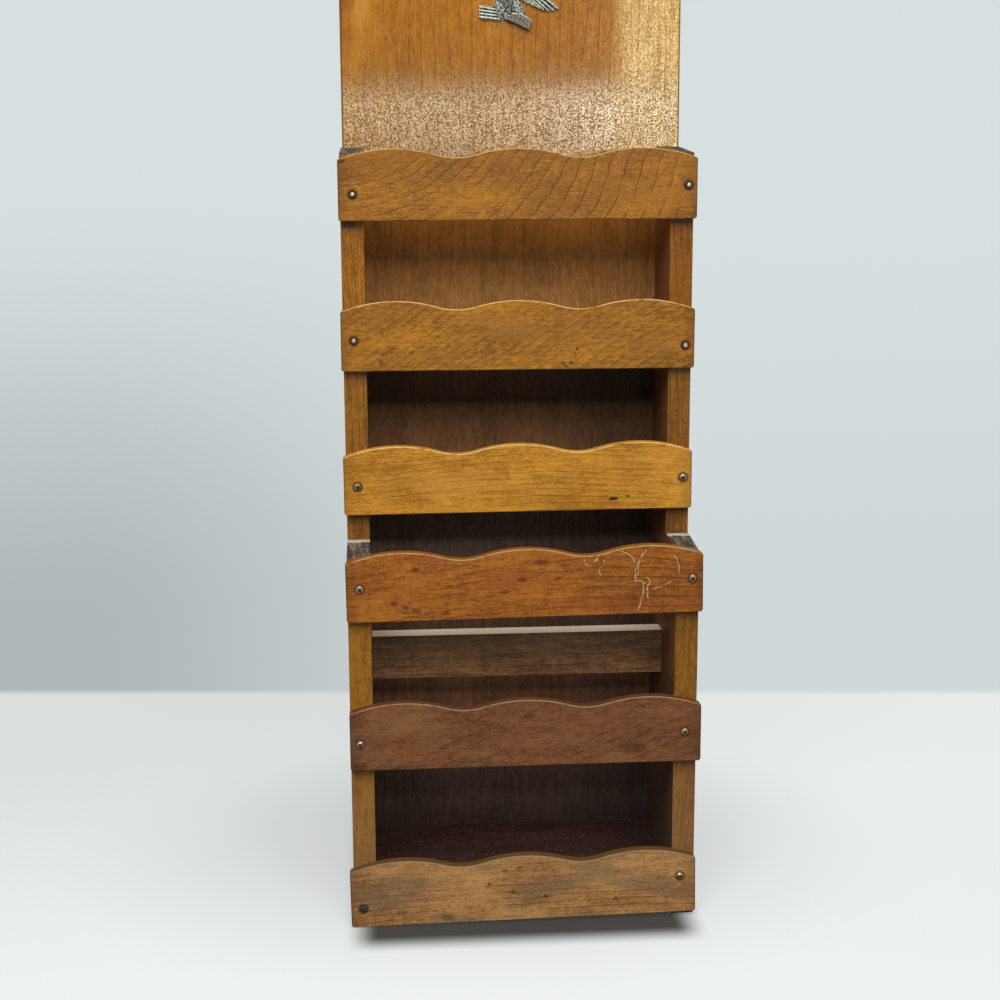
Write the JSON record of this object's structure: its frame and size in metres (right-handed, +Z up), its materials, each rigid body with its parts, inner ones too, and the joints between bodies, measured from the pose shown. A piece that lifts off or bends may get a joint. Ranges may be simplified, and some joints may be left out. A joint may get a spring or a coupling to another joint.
{
  "type": "letter holder",
  "caption": "Wall or shelf letter holder of varnished boards: stepped sides, scalloped nailed front slats, three pockets, a divider rail, an arched back board and a small cast eagle.",
  "frame": {"origin": "middle of the bounding box in X and Y, on the base", "axes": "+X to the right seen from the front, +Z up, the front faces -Y"},
  "size_m": [0.1988, 0.1094, 0.6099],
  "materials": {
    "back_wood": "golden brown satin varnish, vertical grain, darker inside the pockets",
    "side_wood": "amber varnish worn on the edges, grey dusty end grain on top",
    "slat_wood": "honey to red-brown varnish, scratched, worn pale along the edges",
    "shelf_wood": "thin brown stain, dusty",
    "rail_wood": "brown front, raw grey-beige top edge",
    "brass_pin": "dull brass, darkened in the recesses",
    "nail_steel": "dull steel",
    "cast_metal": "grey-green pewter, dark recesses, bright worn feathers"
  },
  "bodies": {
    "root": {"back_board": "back_wood", "left_side": "side_wood", "right_side": "side_wood", "front_slat_1": "slat_wood", "front_slat_2": "slat_wood", "front_slat_3": "slat_wood", "front_slat_4": "slat_wood", "front_slat_5": "slat_wood", "front_slat_6": "slat_wood", "shelf_1": "shelf_wood", "shelf_2": "shelf_wood", "bottom_board": "shelf_wood", "divider_rail": "rail_wood", "slat_pins": "brass_pin", "shelf_brads": "nail_steel", "bottom_brads": "nail_steel", "rail_brads": "nail_steel", "back_nails": "nail_steel", "eagle_ornament": "cast_metal", "ornament_pins": "brass_pin"}
  },
  "joints": []
}
